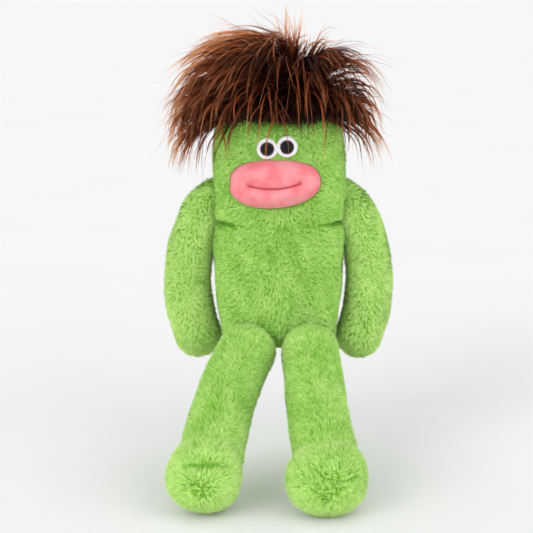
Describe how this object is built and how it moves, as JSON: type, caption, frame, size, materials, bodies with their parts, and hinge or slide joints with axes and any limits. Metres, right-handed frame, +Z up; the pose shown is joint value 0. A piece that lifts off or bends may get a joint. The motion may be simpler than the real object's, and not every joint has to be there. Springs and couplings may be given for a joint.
{
  "type": "plush doll",
  "caption": "Seated long-pile plush figure with a padded muzzle, stitched eyes, a wig of long fibre, and stuffed arms, legs and boots that swing at sewn joints.",
  "frame": {"origin": "middle of the flat seat under the column, on the surface it sits on", "axes": "+Z up, -Y the way the face looks, +X the figure's own left"},
  "size_m": [0.2334, 0.2994, 0.4507],
  "materials": {
    "green_plush": "long soft pile",
    "fibre_fill": "loose fibre",
    "hair_pile": "long glossy pile with lighter tips",
    "scalp_cloth": "knitted backing",
    "muzzle_velour": "short velour nap",
    "mouth_thread": "stitched line",
    "green_thread": "ladder stitch",
    "seam_tape": "turned-in backing cloth",
    "eye_white_felt": "smooth padded felt",
    "pupil_stitching": "satin-stitched rim, felt centre"
  },
  "bodies": {
    "torso": {"torso_front_panel": "green_plush", "torso_back_panel": "green_plush", "torso_base_panel": "green_plush", "torso_stuffing": "fibre_fill", "torso_seam_tape": "seam_tape", "closing_stitches": "green_thread"},
    "neck": {"neck_stuffing": "fibre_fill", "neck_fold_panel": "green_plush"},
    "head": {"head_front_panel": "green_plush", "head_back_panel": "green_plush", "head_stuffing": "fibre_fill", "head_seam_tape": "seam_tape", "scalp_panel": "scalp_cloth", "hair_crown": "hair_pile", "hair_top": "hair_pile", "hair_left": "hair_pile", "hair_right": "hair_pile", "hair_back": "hair_pile", "hair_fringe": "hair_pile", "muzzle_cover": "muzzle_velour", "muzzle_stuffing": "fibre_fill", "smile_seam": "mouth_thread", "left_eye_white": "eye_white_felt", "right_eye_white": "eye_white_felt", "left_pupil": "pupil_stitching", "right_pupil": "pupil_stitching"},
    "left_shoulder": {"left_shoulder_stuffing": "fibre_fill"},
    "left_arm": {"left_arm_front_panel": "green_plush", "left_arm_back_panel": "green_plush", "left_arm_stuffing": "fibre_fill"},
    "left_hip": {"left_hip_stuffing": "fibre_fill"},
    "left_leg": {"left_leg_upper_panel": "green_plush", "left_leg_under_panel": "green_plush", "left_leg_stuffing": "fibre_fill"},
    "left_boot": {"left_boot_upper_panel": "green_plush", "left_boot_sole_panel": "green_plush", "left_boot_stuffing": "fibre_fill"},
    "right_shoulder": {"right_shoulder_stuffing": "fibre_fill"},
    "right_arm": {"right_arm_front_panel": "green_plush", "right_arm_back_panel": "green_plush", "right_arm_stuffing": "fibre_fill"},
    "right_hip": {"right_hip_stuffing": "fibre_fill"},
    "right_leg": {"right_leg_upper_panel": "green_plush", "right_leg_under_panel": "green_plush", "right_leg_stuffing": "fibre_fill"},
    "right_boot": {"right_boot_upper_panel": "green_plush", "right_boot_sole_panel": "green_plush", "right_boot_stuffing": "fibre_fill"}
  },
  "joints": [
    {"name": "head_nod", "type": "hinge", "parent": "torso", "child": "neck", "pos_m": [0, 0, 0.126], "axis": [1, 0, 0], "range_deg": [-15, 20], "stiffness_Nm_per_rad": 0.6, "deforming": ["neck_fold_panel", "hair_top", "hair_back", "hair_fringe"]},
    {"name": "head_tilt", "type": "hinge", "parent": "neck", "child": "head", "pos_m": [0, 0, 0.126], "axis": [0, 1, 0], "range_deg": [-7, 7], "stiffness_Nm_per_rad": 0.6},
    {"name": "left_shoulder_swing", "type": "hinge", "parent": "torso", "child": "left_shoulder", "pos_m": [0.0755, 0, 0.129], "axis": [-1, 0, 0], "range_deg": [-50, 170], "deforming": ["hair_left"]},
    {"name": "left_arm_raise", "type": "hinge", "parent": "left_shoulder", "child": "left_arm", "pos_m": [0.0755, 0, 0.129], "axis": [0, -1, 0], "range_deg": [0, 95]},
    {"name": "left_hip_swing", "type": "hinge", "parent": "torso", "child": "left_hip", "pos_m": [0.031, -0.058, 0.004], "axis": [-1, 0, 0], "range_deg": [-56, 78]},
    {"name": "left_leg_splay", "type": "hinge", "parent": "left_hip", "child": "left_leg", "pos_m": [0.031, -0.058, 0.004], "axis": [0, -0.5446, 0.8387], "range_deg": [-5, 22]},
    {"name": "left_ankle_flex", "type": "hinge", "parent": "left_leg", "child": "left_boot", "pos_m": [0.04204, -0.16832, -0.06764], "axis": [-0.9965, -0.0702, -0.0456], "range_deg": [-25, 20]},
    {"name": "right_shoulder_swing", "type": "hinge", "parent": "torso", "child": "right_shoulder", "pos_m": [-0.0755, 0, 0.129], "axis": [-1, 0, 0], "range_deg": [-50, 170], "deforming": ["hair_right"]},
    {"name": "right_arm_raise", "type": "hinge", "parent": "right_shoulder", "child": "right_arm", "pos_m": [-0.0755, 0, 0.129], "axis": [0, 1, 0], "range_deg": [0, 95]},
    {"name": "right_hip_swing", "type": "hinge", "parent": "torso", "child": "right_hip", "pos_m": [-0.031, -0.058, 0.004], "axis": [-1, 0, 0], "range_deg": [-56, 78]},
    {"name": "right_leg_splay", "type": "hinge", "parent": "right_hip", "child": "right_leg", "pos_m": [-0.031, -0.058, 0.004], "axis": [0, 0.5446, -0.8387], "range_deg": [-12, 16]},
    {"name": "right_ankle_flex", "type": "hinge", "parent": "right_leg", "child": "right_boot", "pos_m": [-0.06159, -0.16569, -0.06593], "axis": [-0.9728, 0.1944, 0.1262], "range_deg": [-25, 20]}
  ]
}
